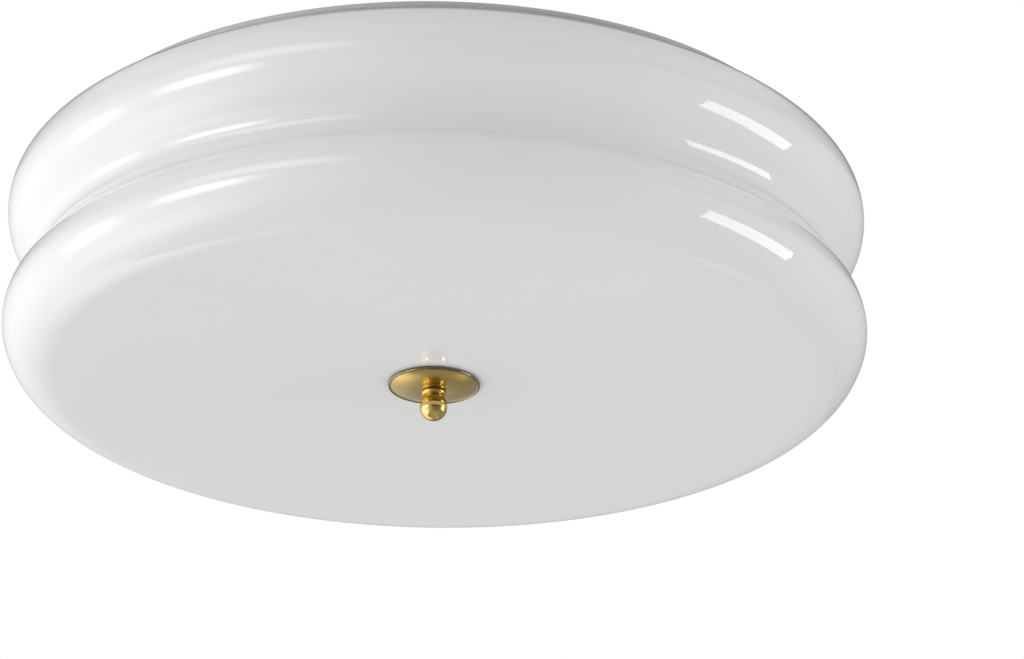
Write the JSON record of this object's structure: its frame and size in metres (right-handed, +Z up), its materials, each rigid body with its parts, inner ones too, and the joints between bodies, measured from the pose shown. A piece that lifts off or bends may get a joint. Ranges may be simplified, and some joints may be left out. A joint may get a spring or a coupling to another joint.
{
  "type": "ceiling light",
  "caption": "Flush ceiling light with a ringed opal glass bowl held under a white steel pan by a brass dish and ball knob.",
  "frame": {"origin": "centre of the two ceiling screw slots, on the ceiling face of the mounting bar", "axes": "+Z up into the ceiling, +X along the mounting bar, the terminal block on the -Y side"},
  "size_m": [0.3999, 0.4, 0.13],
  "materials": {
    "opal_glass": "glossy white opal, white right through",
    "white_steel": "satin powder coat",
    "zinc_steel": "bright zinc plate",
    "tinned_metal": "tin plate",
    "satin_brass": "satin, turned",
    "polished_brass": "polished",
    "silicone": "matt, pale",
    "grommet_rubber": "matt, black",
    "porcelain": "white glaze",
    "plated_shell": "nickel plate",
    "contact_brass": "as stamped",
    "lamp_cap_metal": "rolled thread",
    "lamp_plastic": "satin white",
    "lamp_globe": "frosted",
    "block_plastic": "satin ivory",
    "brown_insulation": "satin",
    "blue_insulation": "satin",
    "green_insulation": "green with a yellow stripe"
  },
  "bodies": {
    "chassis": {"mounting_bar": "zinc_steel", "pan_screws": "zinc_steel", "bar_nuts": "zinc_steel", "pan_washers": "zinc_steel", "pan_cap_nuts": "zinc_steel", "pan": "white_steel", "rim_gasket": "silicone", "centre_rod": "zinc_steel", "rod_nuts": "zinc_steel", "rod_washers": "zinc_steel", "holder_bracket_1": "zinc_steel", "holder_bracket_2": "zinc_steel", "holder_bracket_3": "zinc_steel", "lamp_holder_1": "porcelain", "lamp_holder_2": "porcelain", "lamp_holder_3": "porcelain", "screw_shell_1": "plated_shell", "screw_shell_2": "plated_shell", "screw_shell_3": "plated_shell", "centre_contacts": "contact_brass", "bracket_rivets": "zinc_steel", "holder_screws": "zinc_steel", "live_leads": "brown_insulation", "neutral_leads": "blue_insulation", "lead_grommets": "grommet_rubber", "terminal_block": "block_plastic", "clamp_screws": "contact_brass", "block_screws": "zinc_steel", "earth_lead": "green_insulation", "earth_lug": "tinned_metal", "earth_screw": "zinc_steel"},
    "shade_set": {"shade": "opal_glass", "shade_bush": "silicone"},
    "dish_set": {"dish": "satin_brass", "dish_gasket": "silicone"},
    "knob": {"knob": "polished_brass"},
    "lamp_1": {"lamp_cap_1": "lamp_cap_metal", "lamp_housing_1": "lamp_plastic", "lamp_globe_1": "lamp_globe"},
    "lamp_2": {"lamp_cap_2": "lamp_cap_metal", "lamp_housing_2": "lamp_plastic", "lamp_globe_2": "lamp_globe"},
    "lamp_3": {"lamp_cap_3": "lamp_cap_metal", "lamp_housing_3": "lamp_plastic", "lamp_globe_3": "lamp_globe"}
  },
  "joints": [
    {"name": "shade_lower", "type": "slide", "parent": "chassis", "child": "shade_set", "axis": [0, 0, -1], "range_m": [0, 0.14]},
    {"name": "dish_drop", "type": "slide", "parent": "shade_set", "child": "dish_set", "axis": [0, 0, -1], "range_m": [0, 0.0085]},
    {"name": "knob_turn", "type": "hinge", "parent": "dish_set", "child": "knob", "pos_m": [0, 0, -0.1156], "axis": [0, 0, -1], "range_deg": [0, 3060]},
    {"name": "lamp_1_out", "type": "slide", "parent": "chassis", "child": "lamp_1", "axis": [0.866, 0.5, 0], "range_m": [0, 0.027]},
    {"name": "lamp_2_out", "type": "slide", "parent": "chassis", "child": "lamp_2", "axis": [-0.866, 0.5, 0], "range_m": [0, 0.027]},
    {"name": "lamp_3_out", "type": "slide", "parent": "chassis", "child": "lamp_3", "axis": [0, -1, 0], "range_m": [0, 0.027]}
  ],
  "couplings": [
    {"joint": "dish_drop", "follows": "knob_turn", "m_per_rad": 0.00015915}
  ]
}
